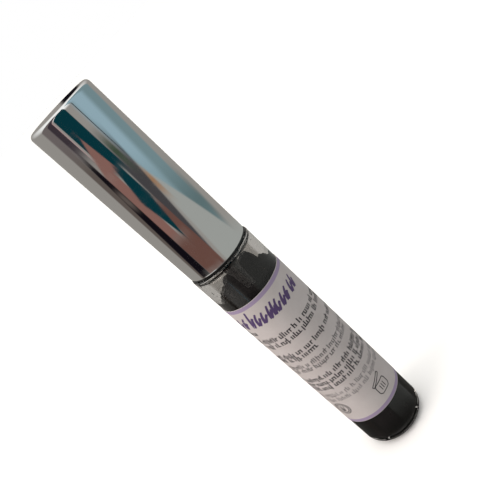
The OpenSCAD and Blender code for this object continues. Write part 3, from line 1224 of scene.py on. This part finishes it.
@dataclass
class Product:
    """The mascara: a lining with a channel, smears on the wall and a thin wiped film."""

    bottle: Bottle
    channel_r: float = 4.1
    channel_round: float = 0.75
    channel_room: float = 0.25
    wetting: float = 0.02
    wave: float = 0.09
    top_wave: float = 0.12
    film: float = 0.15
    thin_film: float = 0.05
    roof_gap: float = 0.06
    columns_a_degree: float = 1.5
    film_rows: int = 16
    fleck_stand: float = 0.01
    fleck_depth: float = 0.07
    fleck_taper: float = 0.2
    flats: int = 144
    fill_top: float = field(init=False)

    def __post_init__(self) -> None:
        """Reads the level of the product from the frame."""
        self.fill_top = top_of("mascara_fill")

    def lining(self) -> Piece:
        """The product up to its level, with a meniscus at the wall and a ragged channel.

        Returns:
            The lining.
        """
        outer = self.bottle.cavity_r + self.wetting
        floor = self.bottle.floor - self.wetting
        low = self.bottle.cavity_round
        channel_z = foot_of("brush_core") - self.channel_room
        inner, soft, top = self.channel_r, self.channel_round, self.fill_top
        outline = [(0, floor)] + arc(outer - low, floor + low, low, -90, 0, steps=18)
        outline += [(outer, z) for z in (12, 20, 30, 40, 50, 58)]
        meniscus = [(0.0, 0.25), (0.25, 0.05), (0.7, -0.05)]
        outline += [(outer - step, top + rise) for step, rise in meniscus]
        lip = [(0.6, 0.0), (0.2, -0.15), (0.0, -0.6)]
        outline += [(inner + step, top + rise) for step, rise in lip]
        outline += [(inner, top - depth) for depth in (1.5, 3, 5, 8, 12, 18, 26, 36, 46)]
        outline += arc(inner - soft, channel_z + soft, soft, 0, -90, steps=6) + [(0, channel_z)]
        fill = turned("product_lining", outline, self.flats)
        kept_wall, top_band, wave_middle = 0.1, 1.0, 0.9
        # Each wave's size, its crests round the axis and how fast they climb.
        waves = ((0.5, 3, 1.1), (0.3, 7, -2.3), (0.2, 13, 1.0))

        def ragged(x: float, y: float, z: float) -> Place:
            """Waves the surface of the channel and the top, and leaves the wall alone.

            Args:
                x: the point's place along X.
                y: its place along Y.
                z: its height.

            Returns:
                The point's new place.
            """
            r, a = math.hypot(x, y), math.atan2(y, x)
            if r < 1e-3 or r > outer - kept_wall or z < channel_z - kept_wall:
                return x, y, z
            wave = sum(size * math.sin(turns * a + climb * z) for size, turns, climb in waves)
            new_r = r + self.wave * (wave + wave_middle)
            lift = self.top_wave * wave if z > top - top_band else 0.0
            return x * new_r / r, y * new_r / r, z + lift

        bend_points(fill, ragged)
        return fill

    def wall_film(self, name: str, edge: Outline, foot: float, thickness: float, first: float, last: float
                  ) -> Piece:
        """A film of product on the inside of the wall, with an uneven upper edge.

        Args:
            name: the piece's name.
            edge: the upper edge, as (azimuth in degrees, height over the fill).
            foot: height of its lower edge over the fill.
            thickness: its thickness.
            first: azimuth in degrees where it starts.
            last: azimuth in degrees where it ends.

        Returns:
            The film.
        """
        columns = round((last - first) * self.columns_a_degree)
        roof = self.bottle.cavity_top - self.fill_top - self.roof_gap
        deselect_all()
        bpy.ops.mesh.primitive_grid_add(x_subdivisions=columns, y_subdivisions=self.film_rows, size=2 * MM)
        sheet = bpy.context.object
        rng = random.Random(name)
        # The waves of the ragged edge: each one's size, its crests round the tube and its place.
        rags = [(size, turns, rng.uniform(0, math.tau))
                for size, turns in ((0.1, 9), (0.07, 17), (0.05, 31), (0.03, 53))]

        def height_at(azimuth: float) -> float:
            """Height of the upper edge, eased between its points and slightly ragged.

            Args:
                azimuth: where, in degrees.

            Returns:
                The height over the fill.
            """
            for (a0, h0), (a1, h1) in pairwise(edge):
                if azimuth <= a1:
                    break
            share = min(max((azimuth - a0) / (a1 - a0), 0.0), 1.0)
            share = share * share * (3 - 2 * share)
            a = math.radians(azimuth)
            rag = sum(size * math.sin(turns * a + phase) for size, turns, phase in rags)
            return min(h0 + (h1 - h0) * share + rag, roof)

        def wrap(x: float, y: float, _: float) -> Place:
            """Rolls the flat sheet onto the inside of the wall.

            Args:
                x: the point's place across the sheet, -1 to 1.
                y: its place up the sheet, -1 to 1.
                _: its height, which is 0 all over a flat sheet.

            Returns:
                Its place on the wall.
            """
            azimuth = first + (last - first) * (x + 1) / 2
            z = self.fill_top + foot + (height_at(azimuth) - foot) * (y + 1) / 2
            r = self.bottle.cavity_radius(z) + self.wetting
            a = math.radians(azimuth)
            return r * math.sin(a), -r * math.cos(a), z

        bend_points(sheet, wrap)
        middle = sheet.data.polygons[0]
        outward = middle.normal.dot(Vector((middle.center.x, middle.center.y, 0)))
        select_only(sheet)
        bpy.ops.object.mode_set(mode="EDIT")
        bpy.ops.mesh.select_all(action="SELECT")
        bpy.ops.mesh.remove_doubles(threshold=1e-6)
        if outward < 0:
            bpy.ops.mesh.flip_normals()
        bpy.ops.object.mode_set(mode="OBJECT")
        finish_modifier(sheet, "SOLIDIFY", thickness=thickness * MM, offset=-1, use_even_offset=True)
        return settle(sheet, name, 50)

    def specks(self) -> Piece:
        """Small flecks and beads of product on the inside of the wall.

        Returns:
            The flecks, as one piece.
        """
        # Each one's azimuth, height over the fill, half width and half height.
        places = [(-72, 4.4, 0.12, 0.5), (-69, 3.3, 0.08, 0.2), (-84, 7.2, 0.3, 0.5), (9, 5.2, 0.13, 0.13),
                  (13, 5.6, 0.1, 0.1), (3, 4.6, 0.09, 0.09), (70, 6.6, 0.1, 0.14), (118, 5.5, 0.2, 0.35),
                  (150, 6.3, 0.16, 0.3), (-128, 4.9, 0.18, 0.4)]
        depth, taper = self.fleck_depth, self.fleck_taper
        flecks = []
        for azimuth, height, wide, tall in places:
            deselect_all()
            z = self.fill_top + height
            a, r = math.radians(azimuth), self.bottle.cavity_radius(z) - self.fleck_stand
            bpy.ops.mesh.primitive_ico_sphere_add(subdivisions=3, radius=MM)
            fleck = bpy.context.object
            bend_points(fleck, lambda x, y, h, w=wide, t=tall: (x * w * (1 + taper * h), y * depth, h * t))
            fleck.data.transform(Matrix.Translation(Vector((r * math.sin(a), -r * math.cos(a), z)) * MM)
                                 @ Matrix.Rotation(a, 4, "Z"))
            flecks.append(fleck)
        return joined("product_flecks", flecks)

    def build(self) -> None:
        """Makes the product and dresses it."""
        fill = self.lining()
        dress(fill, PASTE)
        mount(fill, "bottle", "mascara", "mascara_fill")
        edge = [(-180, 1.4), (-160, 3.0), (-140, 2.4), (-122, 0.9), (-100, 0.8), (-75, 0.6), (-62, 1.2),
                (-54, 2.7), (-46, 3.8), (-31, 5.4), (-14.5, 6.7), (-12, 5.6), (-9, 0.6), (8, 0.4), (13, 6.6),
                (17, 7.3), (36, 7.5), (41, 6.3), (44, 5.3), (48.9, 3.2), (54.7, 3.5), (65, 2.2), (76, 0.7),
                (93, 0.5), (120, 0.8), (140, 2.2), (160, 2.8), (180, 1.4)]
        smears = self.wall_film("product_smears", edge, -1.2, self.film, -180, 180)
        dress(smears, PASTE_FILM)
        mount(smears, "bottle", "mascara_smear", "mascara_smears")
        thin_edge = [(-76, 0.9), (-70, 1.9), (-62, 3.0), (-52, 4.0), (-40, 5.0), (-36, 5.2)]
        thin = self.wall_film("wiped_film", thin_edge, 0.4, self.thin_film, -76, -37)
        dress(thin, THIN_FILM)
        mount(thin, "bottle", "mascara_smear")
        flecks = self.specks()
        dress(flecks, PASTE_FILM)
        mount(flecks, "bottle", "mascara_smear")


@dataclass
class Cap:
    """The bright cap shell; its black liner stays the frame's own piece and gets its finish here."""

    wall: float = 0.9
    top_wall: float = 1.1
    top_round: float = 1.1
    edge_round: float = 0.2
    bore_soft: float = 0.1
    foot_row: float = 0.4
    top_row: float = 0.3
    flats: int = 288
    radius: float = field(init=False)
    foot: float = field(init=False)
    top: float = field(init=False)

    def __post_init__(self) -> None:
        """Reads the shell's size from the frame."""
        self.radius = radius_of("cap_shell")
        self.foot, self.top = foot_of("cap_shell"), top_of("cap_shell")

    def outline(self) -> Outline:
        """The shell's half section, from the roof of its bore down and up the outside.

        Returns:
            Its points, with a row beside each rounding that keeps the straight faces straight.
        """
        bore, roof, soft = self.radius - self.wall, self.top - self.top_wall, self.bore_soft
        low, high = self.edge_round, self.top_round
        inside = [(0, roof), (bore - soft, roof), (bore, roof - soft), (bore, self.foot + soft)]
        inside += [(bore + soft, self.foot)]
        outside = arc(self.radius - low, self.foot + low, low, -90, 0, steps=6)
        outside += [(self.radius, self.foot + self.foot_row), (self.radius, self.top - high - self.top_row)]
        outside += arc(self.radius - high, self.top - high, high, 0, 90, steps=14)
        outside += [(self.radius - high - self.top_row, self.top), (0, self.top)]
        return inside + outside

    def build(self) -> None:
        """Makes the shell and dresses it and the liner."""
        shell = turned("bright_cap_shell", self.outline(), self.flats)
        dress(shell, MIRROR)
        mount(shell, "applicator", "mirror_metallised_plastic", "cap_shell")
        dress(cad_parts["cap_liner"], LINER_PLASTIC)
        LOG.info("cap_liner keeps the frame's shape")


@dataclass
class Wand:
    """The stem, the twisted wire and the brush."""

    tip_r: float = 1.5
    tip_soft: float = 0.15
    stem_r: float = 2.1
    taper: float = 2.4
    taper_row: float = 0.3
    head_h: float = 6.0
    head_soft: float = 0.2
    stem_flats: int = 96
    bead: float = 0.2
    wire_r: float = 0.37
    wire_sides: int = 12
    wire_steps: int = 20
    twist: float = 2.4
    grip: float = 6.0
    crown: float = 0.9
    bristles: int = 1700
    bristle_pitch: float = 1.5
    bristle_foot_r: float = 0.05
    bristle_tip_r: float = 0.022
    end_room: float = 0.08
    tip_room: float = 0.05
    stray_turn: float = 0.45
    stray_tilt: float = 0.09
    trim: tuple[float, float] = (0.02, 0.3)

    def stem(self) -> Piece:
        """The moulded stem with its tapered end and its head in the liner's boss.

        Returns:
            The stem.
        """
        foot, top, head_r = foot_of("wand_stem"), top_of("wand_stem"), radius_of("wand_stem") - self.bead
        seat, bead_z = top - self.head_h, top - self.head_h + self.head_h / 2
        tip, soft = self.tip_soft, self.head_soft
        outline = [(0, foot), (self.tip_r - tip, foot), (self.tip_r, foot + tip)]
        outline += [(self.stem_r, foot + self.taper), (self.stem_r, foot + self.taper + self.taper_row)]
        outline += [(self.stem_r, z) for z in (45, 55, 65, 75)] + [(self.stem_r, seat)]
        outline += [(head_r, seat), (head_r, bead_z - self.bead)]
        outline += arc(head_r, bead_z, self.bead, -60, 60, steps=6)
        outline += [(head_r, bead_z + self.bead), (head_r, top - soft), (head_r - soft, top), (0, top)]
        return turned("moulded_stem", outline, self.stem_flats)

    def wire(self) -> Piece:
        """Two strands of wire, twisted together.

        Returns:
            The wire.
        """
        foot, top = foot_of("brush_core"), foot_of("wand_stem") + self.grip
        turns = (top - foot - 2 * self.wire_r) / self.twist
        steps = round(self.wire_steps * turns)
        strands = []
        for half in (0, math.pi):
            deselect_all()
            bpy.ops.mesh.primitive_circle_add(vertices=self.wire_sides, radius=self.wire_r * MM,
                                              fill_type="NGON", rotation=(math.pi / 2, 0, 0),
                                              location=(self.wire_r * MM, 0, (foot + self.wire_r) * MM))
            strand = bpy.context.object
            bpy.ops.object.transform_apply(location=True, rotation=True, scale=True)
            finish_modifier(strand, "SCREW", angle=math.tau * turns, axis="Z", steps=steps,
                            render_steps=steps, screw_offset=self.twist * turns * MM)
            strand.data.transform(Matrix.Rotation(half, 4, "Z"))
            mend_normals(strand)
            strands.append(strand)
        return joined("twisted_wire", strands, 60)

    def tuft(self) -> Piece:
        """The bristles: one filament, modelled once and copied along a spiral between the strands.

        Returns:
            The bristles, as one piece.
        """
        rng = random.Random(5)
        foot, top, brush_r = foot_of("brush_bristles"), top_of("brush_bristles"), radius_of("brush_bristles")
        middle, half = (foot + top) / 2, (top - foot) / 2
        deselect_all()
        bpy.ops.mesh.primitive_cone_add(vertices=5, radius1=self.bristle_foot_r * MM,
                                        radius2=self.bristle_tip_r * MM, depth=MM,
                                        location=(0, 0, MM / 2))
        filament = bpy.context.object
        bpy.ops.object.transform_apply(location=True, rotation=True, scale=True)
        points = [v.co.copy() for v in filament.data.vertices]
        faces = [tuple(p.vertices) for p in filament.data.polygons]
        copies = []
        for i in range(self.bristles):
            z = foot + self.end_room + (top - foot - 2 * self.end_room) * (i + 0.5) / self.bristles
            turn = math.tau * z / self.bristle_pitch + math.pi * (i % 2) + rng.gauss(0, self.stray_turn)
            reach = brush_r - self.crown * ((z - middle) / half) ** 2 - rng.uniform(*self.trim)
            tilt = rng.gauss(0, self.stray_tilt)
            end_z = z + reach * math.sin(tilt)
            tilt = tilt if foot + self.tip_room < end_z < top - self.tip_room else 0.0
            aim = (Matrix.Translation((0, 0, z * MM)) @ Matrix.Rotation(turn, 4, "Z")
                   @ Matrix.Rotation(math.pi / 2 - tilt, 4, "Y") @ Matrix.Diagonal((1, 1, reach, 1)))
            copies.append(([aim @ p for p in points], faces))
        fill_mesh(filament, copies)
        return settle(filament, "bristle_tufts", 60)

    def build(self) -> None:
        """Makes the wand and dresses it."""
        stem = self.stem()
        dress(stem, STEM_PLASTIC)
        mount(stem, "applicator", "stem_plastic", "wand_stem")
        wire = self.wire()
        dress(wire, WIRE)
        mount(wire, "applicator", "steel_wire", "brush_core")
        tuft = self.tuft()
        dress(tuft, NYLON)
        mount(tuft, "applicator", "bristles", "brush_bristles")


@dataclass
class Seals:
    """The wiper and the foam washer, which keep the frame's own shapes."""

    def build(self) -> None:
        """Dresses the wiper and the washer."""
        dress(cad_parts["wiper"], WIPER_PLASTIC)
        dress(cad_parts["sealing_washer"], FOAM)
        LOG.info("wiper and sealing_washer keep the frame's shapes")


# ---- The studio ----


class Shade(Enum):
    """Colours of the cards and walls that stand round the tube and show in its mirror."""

    WALL = "#95918c"
    SKY_BLUE = "#93adb8"
    STEEL = "#748b90"
    DEEP_STEEL = "#5c7072"
    TEAL = "#08343c"
    ROSE = "#86625a"
    PALE_ROSE = "#b89a98"
    SLATE = "#454345"
    DUSK = "#3b3339"
    BARK = "#5e5550"
    BRICK = "#694a42"
    PALE_WALL = "#c4c1bd"
    TABLE = "#3c3b38"
    UMBER = "#6c6463"
    MOSS = "#3c4a3a"
    INK = "#110e14"
    PALE_GREY = "#9ea09c"
    OAK = "#9a7556"
    WHITE = "#fafaf8"


@dataclass(frozen=True)
class Card:
    """A soft-edged upright card seen only in mirrors.

    Its left and right edges are azimuths in degrees at a high and a low elevation, and run
    straight between them. It spans the elevations from low to high.
    """

    shade: Shade
    left: tuple[float, float]
    right: tuple[float, float]
    high: float = 75.0
    low: float = -40.0
    soft: float = 2.0
    end_soft: float = 1.5
    power: float = 1.0


@dataclass(frozen=True)
class SoftBox:
    """A square soft box: its place and its side in millimetres, its power in watts and its colour."""

    name: str
    place: Place
    size: float
    power: float
    colour: str


KEY = SoftBox("key_softbox", (-480, -120, 260), 420, 2.0, "#fff3ee")
FILL = SoftBox("fill_softbox", (430, -260, 260), 500, 0.12, "#eef4ff")


@dataclass
class Studio:
    """A pale floor, soft light, the cards round the tube and the camera.

    The room is its colours by height, from straight down at 0 to straight up at 1. The sky is the
    light from above, which grows between two heights of a ray's direction.
    """

    room: tuple[tuple[float, Shade], ...] = (
        (0.0, Shade.TABLE), (0.27, Shade.TABLE), (0.35, Shade.WALL), (0.55, Shade.WALL), (0.8, Shade.WHITE))
    sky_from: float = 0.25
    sky_to: float = 0.9
    low_sky: float = 0.27
    high_sky: float = 1.9
    seen_through: float = 0.7
    top_elevation: float = -3.0
    foot_elevation: float = -21.0
    floor_size: float = 6000.0
    camera_distance: float = 150.26
    camera_over_cap: float = 7.35
    heading: float = -2.226
    tilt: float = 67.882
    roll: float = -46.83
    lens: float = 48.9
    clip_start: float = 0.01

    def cards(self) -> list[Card]:
        """The cards that stand round the tube.

        Returns:
            The cards, from the farthest to the nearest.
        """
        return [
            Card(Shade.STEEL, (35, 28), (126, 90), low=-19.2, soft=6, end_soft=2.5),
            Card(Shade.SKY_BLUE, (37, 30), (84, 50), low=-12.5, soft=12, end_soft=5),
            Card(Shade.DEEP_STEEL, (66, 60), (150, 100), high=-14, low=-18.8, soft=10, end_soft=3),
            Card(Shade.PALE_GREY, (55, 8), (-20, 105), high=-10.5, soft=4, end_soft=1),
            Card(Shade.PALE_GREY, (55, 8), (190, 190), high=-19.4, low=-28, soft=4, end_soft=1.5),
            Card(Shade.INK, (34.2, 33), (36.2, 35), low=-9, soft=0.7),
            Card(Shade.OAK, (24, 24), (38, 38), high=-11, low=-13.6, soft=4),
            Card(Shade.SLATE, (8, -11), (60, -5), high=-8, soft=3, end_soft=3),
            Card(Shade.MOSS, (14, 12), (28, 26), high=-7.2, low=-9.8, soft=3),
            Card(Shade.TEAL, (-36, -36), (10, 10), low=-9.7, soft=1.2, end_soft=0.8),
            Card(Shade.UMBER, (-88, -88), (-60, -60), low=-7.5, soft=4, end_soft=2),
            Card(Shade.BARK, (-85, -99), (-66, -76), high=-6.5, soft=3, end_soft=2),
            Card(Shade.DUSK, (-62, -62), (-42, -42), low=-7, soft=2.5, end_soft=1.5),
            Card(Shade.PALE_ROSE, (-43.2, -43.2), (-41, -41), low=-7.5, soft=1.2, end_soft=2),
            Card(Shade.ROSE, (5.2, -173.7), (-26.2, 12.7), high=-5.7, low=-9.6, soft=1.6, end_soft=0.5),
            Card(Shade.ROSE, (-60, -64), (-23, -40), high=-9.4, low=-17, soft=2, end_soft=0.8),
            Card(Shade.BRICK, (-22, -22), (2, -3), high=-13.4, low=-17.4, soft=2, end_soft=1.2),
            Card(Shade.BRICK, (-58, -63), (2, -1), high=-16.9, low=-21.4, soft=2, end_soft=1),
            Card(Shade.TEAL, (13.7, -83.2), (-3.5, -3.5), high=-9.2, low=-13.2, soft=1.8, end_soft=0.7),
            Card(Shade.TEAL, (-68.5, -16.3), (37.7, -41.9), high=-12.6, low=-17.4, soft=1.8, end_soft=0.5),
            Card(Shade.INK, (-60, -92), (-54, -63), high=-7.2, low=-21.4, soft=1.8, end_soft=1),
            Card(Shade.BARK, (-72, -76), (-58, -62), high=-10.8, low=-12.8, soft=5, end_soft=0.8),
            Card(Shade.UMBER, (-66, -66), (2, 2), high=-22.2, soft=4, end_soft=0.6),
            Card(Shade.INK, (177.6, 177.6), (179.5, 179.5), high=7, low=-1, soft=0.3, end_soft=1),
            Card(Shade.PALE_WALL, (-86, -86), (-38, -38), high=-22.4, low=-27, soft=6, end_soft=1.5),
            Card(Shade.SKY_BLUE, (-45, -45), (-42.4, -42.4), soft=0.7, high=-22.8, low=-26, end_soft=0.6,
                 power=1.8),
        ]

    def directions(self, tree: NodeTree) -> tuple[Socket, Socket]:
        """Works out where each ray of the world looks.

        Args:
            tree: the world's nodes.

        Returns:
            The azimuth and the elevation, in degrees.
        """
        way = add_node(tree, "SeparateXYZ", None, {0: add_node(tree, "TexCoord").outputs["Generated"]})
        back = add_node(tree, "Math", {"operation": "MULTIPLY"}, {0: way.outputs["Y"], 1: -1.0})
        turn = add_node(tree, "Math", {"operation": "ARCTAN2"}, {0: way.outputs["X"], 1: back.outputs[0]})
        azimuth = add_node(tree, "Math", {"operation": "DEGREES"}, {0: turn.outputs[0]})
        rise = add_node(tree, "Math", {"operation": "ARCSINE"}, {0: way.outputs["Z"]})
        elevation = add_node(tree, "Math", {"operation": "DEGREES"}, {0: rise.outputs[0]})
        return azimuth.outputs[0], elevation.outputs[0]

    def reflect(self, tree: NodeTree) -> Socket:
        """The room as mirrors see it.

        Args:
            tree: the world's nodes.

        Returns:
            The room's colour in each direction.
        """
        azimuth, elevation = self.directions(tree)
        share = add_node(tree, "MapRange", None, {
            "Value": elevation, "From Min": self.top_elevation, "From Max": self.foot_elevation}).outputs[0]
        room = add_node(tree, "MapRange", None, {
            "Value": elevation, "From Min": -90.0, "From Max": 90.0}).outputs["Result"]
        stops = [(place, shade.value) for place, shade in self.room]
        colour = add_node(tree, "ValToRGB", {"stops": stops}, {"Fac": room}).outputs["Color"]
        for card in self.cards():
            sides = []
            for edges, sign in ((card.left, 1), (card.right, -1)):
                edge = add_node(tree, "MapRange", None, {
                    "Value": share, "To Min": edges[0], "To Max": edges[1]}).outputs["Result"]
                gap = add_node(tree, "Math", {"operation": "SUBTRACT"}, {0: azimuth, 1: edge}).outputs[0]
                sides.append((gap, -sign * card.soft, sign * card.soft))
            sides.append((elevation, card.high + card.end_soft, card.high - card.end_soft))
            sides.append((elevation, card.low - card.end_soft, card.low + card.end_soft))
            cover = None
            for value, start, end in sides:
                mask = add_node(tree, "MapRange", {"interpolation_type": "SMOOTHSTEP"}, {
                    "Value": value, "From Min": start, "From Max": end}).outputs["Result"]
                if cover is not None:
                    mask = add_node(tree, "Math", {"operation": "MULTIPLY"}, {0: cover, 1: mask}).outputs[0]
                cover = mask
            bright = tuple(c * card.power for c in linear(card.shade.value)[:3])
            colour = add_node(tree, "Mix", {"data_type": "RGBA"}, {
                MIX_FACTOR: cover, MIX_A: colour, MIX_B: (*bright, 1.0)}).outputs[MIX_RESULT]
        return colour

    def world(self) -> None:
        """White behind the tube, the cards for mirrors, and a soft sky for light.

        A ray that passes through the clear wall counts as glossy too, so what is behind the wall is
        mixed in last.
        """
        world = bpy.data.worlds.new("studio")
        bpy.context.scene.world = world
        world.use_nodes = True
        tree = world.node_tree
        tree.nodes.clear()
        way = add_node(tree, "SeparateXYZ", None, {0: add_node(tree, "TexCoord").outputs["Generated"]})
        sky = add_node(tree, "MapRange", None, {
            "Value": way.outputs["Z"], "From Min": self.sky_from, "From Max": self.sky_to,
            "To Min": self.low_sky, "To Max": self.high_sky})
        light = add_node(tree, "Background", None, {
            "Color": linear("#fbfaf8"), "Strength": sky.outputs["Result"]})
        white = add_node(tree, "Background", None, {"Color": linear("#ffffff"), "Strength": 1.0})
        behind = add_node(tree, "Background", None, {
            "Color": linear("#fbf9f6"), "Strength": self.seen_through})
        mirror = add_node(tree, "Background", None, {"Color": self.reflect(tree), "Strength": 1.0})
        path = add_node(tree, "LightPath")
        shown = light.outputs[0]
        for ray, back in (("Camera", white), ("Glossy", mirror), ("Transmission", behind)):
            shown = add_node(tree, "MixShader", None, {
                0: path.outputs[f"Is {ray} Ray"], 1: shown, 2: back.outputs[0]}).outputs[0]
        add_node(tree, "OutputWorld", None, {"Surface": shown})

    def light(self, box: SoftBox) -> None:
        """Adds a soft box, turned to the label's top; it lights the tube and shows in no mirror.

        Args:
            box: the soft box.
        """
        deselect_all()
        target = Vector((0, 0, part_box("label")[1].z))
        start = Vector(box.place) * MM
        bpy.ops.object.light_add(type="AREA", location=start,
                                 rotation=(target - start).to_track_quat("-Z", "Y").to_euler())
        lamp = bpy.context.object
        lamp.name = box.name
        lamp.data.size = box.size * MM
        lamp.data.energy = box.power
        lamp.data.color = linear(box.colour)[:3]
        lamp.visible_glossy = False
        lamp.visible_camera = False

    def floor(self) -> None:
        """The pale floor, which mirrors and the clear wall don't see."""
        deselect_all()
        bpy.ops.mesh.primitive_plane_add(size=self.floor_size * MM)
        floor = settle(bpy.context.object, "studio_floor", None)
        dress(floor, FLOOR_PAINT)
        floor.visible_glossy = False
        floor.visible_diffuse = False
        floor.visible_transmission = False

    def camera(self) -> None:
        """The camera, over the front of the cap, looking down and rolled so that the tube slants."""
        deselect_all()
        place = Vector((0, -self.camera_distance, top_of("cap_shell") + self.camera_over_cap)) * MM
        turn = (Matrix.Rotation(math.radians(self.heading), 4, "Z")
                @ Matrix.Rotation(math.radians(self.tilt), 4, "X")
                @ Matrix.Rotation(math.radians(self.roll), 4, "Z"))
        bpy.ops.object.camera_add(location=place, rotation=turn.to_euler())
        camera = bpy.context.object
        camera.data.lens = self.lens
        camera.data.clip_start = self.clip_start
        bpy.context.scene.camera = camera

    def build(self) -> None:
        """Sets the stage."""
        bpy.context.scene.view_settings.view_transform = "Standard"
        self.world()
        self.floor()
        for box in (KEY, FILL):
            self.light(box)
        self.camera()


def main() -> None:
    """Builds the tube from the bottle outwards, then sets the stage."""
    logging.basicConfig(level=logging.INFO, format="%(name)s: %(message)s")
    bottle = Bottle()
    for assembly in (bottle, Label(), Product(bottle), Cap(), Wand(), Seals(), Studio()):
        LOG.info("building %s", type(assembly).__name__)
        assembly.build()
    deselect_all()


if __name__ == "__main__":
    main()
